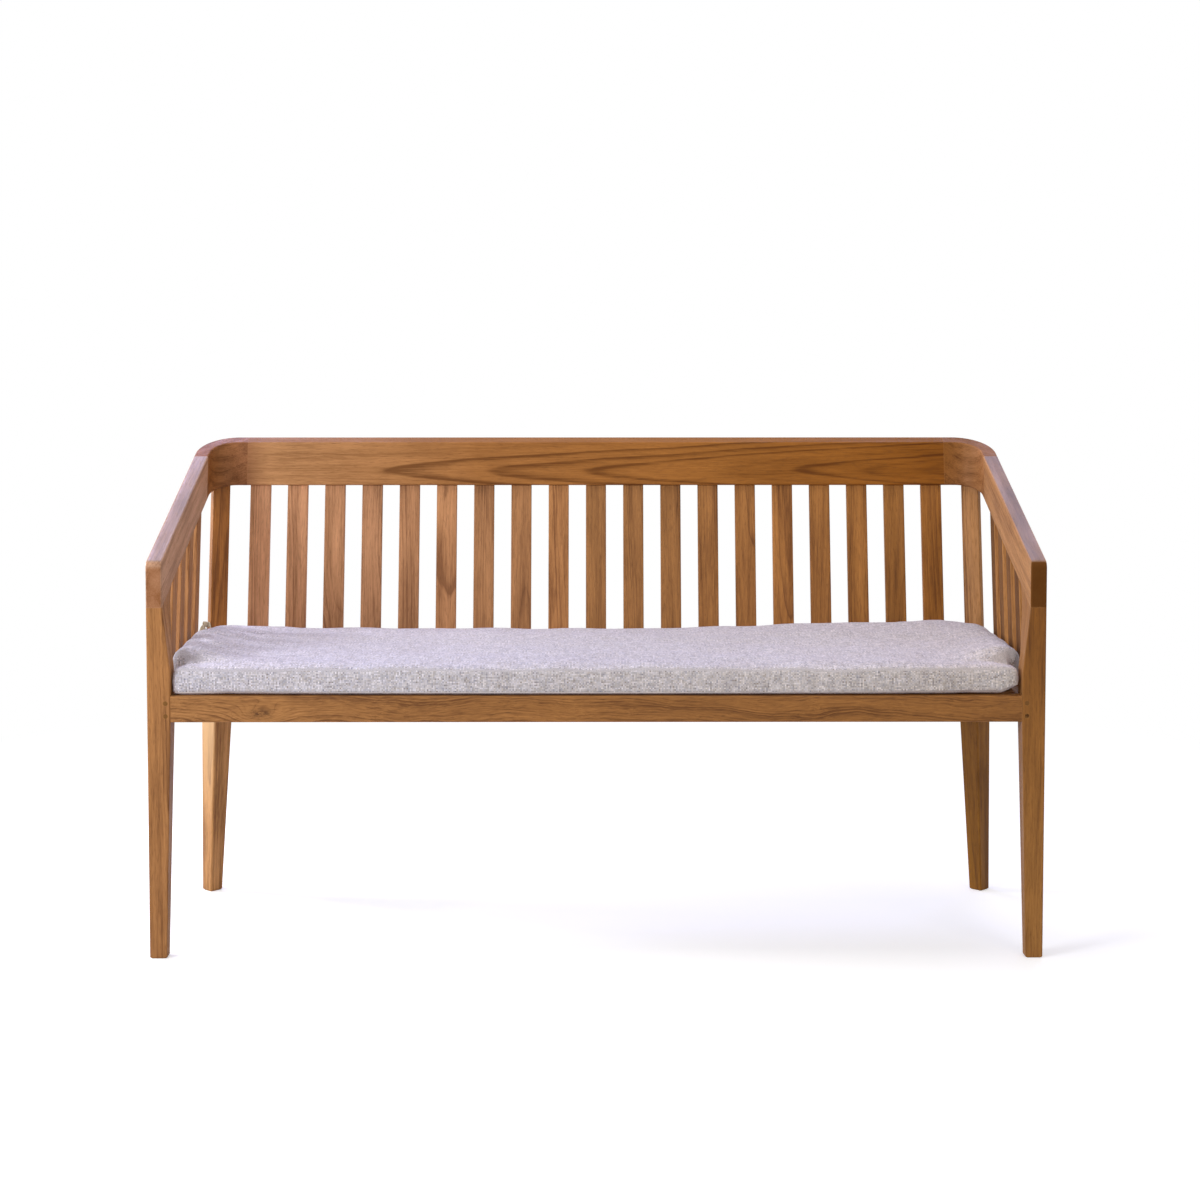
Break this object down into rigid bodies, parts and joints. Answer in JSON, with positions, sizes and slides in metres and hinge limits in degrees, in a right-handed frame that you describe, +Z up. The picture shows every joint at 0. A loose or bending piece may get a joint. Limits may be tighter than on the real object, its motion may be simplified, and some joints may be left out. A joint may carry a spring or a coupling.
{
  "type": "slatted garden bench",
  "caption": "Slatted wooden bench with a sloping U-shaped top rail, raked back and side slats, tapered legs and one loose flat seat cushion",
  "frame": {"origin": "on the floor, at the middle of the bench's width and of its depth", "axes": "+X to the right as one looks at the front, +Y to the back, +Z up"},
  "size_m": [1.5, 0.565, 0.8434],
  "materials": {
    "teak": "oiled, sanded",
    "cushion_cloth": "plain-woven linen look",
    "tie_tape": "woven tape"
  },
  "bodies": {
    "frame": {"arm_left": "teak", "arm_right": "teak", "back_rail": "teak", "back_slat_01": "teak", "back_slat_02": "teak", "back_slat_03": "teak", "back_slat_04": "teak", "back_slat_05": "teak", "back_slat_06": "teak", "back_slat_07": "teak", "back_slat_08": "teak", "back_slat_09": "teak", "back_slat_10": "teak", "back_slat_11": "teak", "back_slat_12": "teak", "back_slat_13": "teak", "back_slat_14": "teak", "back_slat_15": "teak", "back_slat_16": "teak", "back_slat_17": "teak", "back_slat_18": "teak", "back_slat_19": "teak", "corner_block_left": "teak", "corner_block_right": "teak", "corner_slat_left": "teak", "corner_slat_right": "teak", "cushion_tie": "tie_tape", "front_leg_left": "teak", "front_leg_right": "teak", "front_rail_pegs": "teak", "rear_leg_left": "teak", "rear_leg_right": "teak", "seat_bearer_1": "teak", "seat_bearer_2": "teak", "seat_bearer_3": "teak", "seat_bearer_4": "teak", "seat_board_1": "teak", "seat_board_2": "teak", "seat_board_3": "teak", "seat_board_4": "teak", "seat_board_5": "teak", "seat_corner_block_left": "teak", "seat_corner_block_right": "teak", "seat_front_rail": "teak", "seat_rear_rail": "teak", "seat_side_rail_left": "teak", "seat_side_rail_right": "teak", "side_slat_1_left": "teak", "side_slat_1_right": "teak", "side_slat_2_left": "teak", "side_slat_2_right": "teak", "side_slat_3_left": "teak", "side_slat_3_right": "teak", "side_slat_4_left": "teak", "side_slat_4_right": "teak"},
    "cushion": {"cushion": "cushion_cloth"}
  },
  "joints": [
    {"name": "cushion_lift", "type": "slide", "parent": "frame", "child": "cushion", "axis": [0, 0, 1], "range_m": [0, 0.42]}
  ]
}
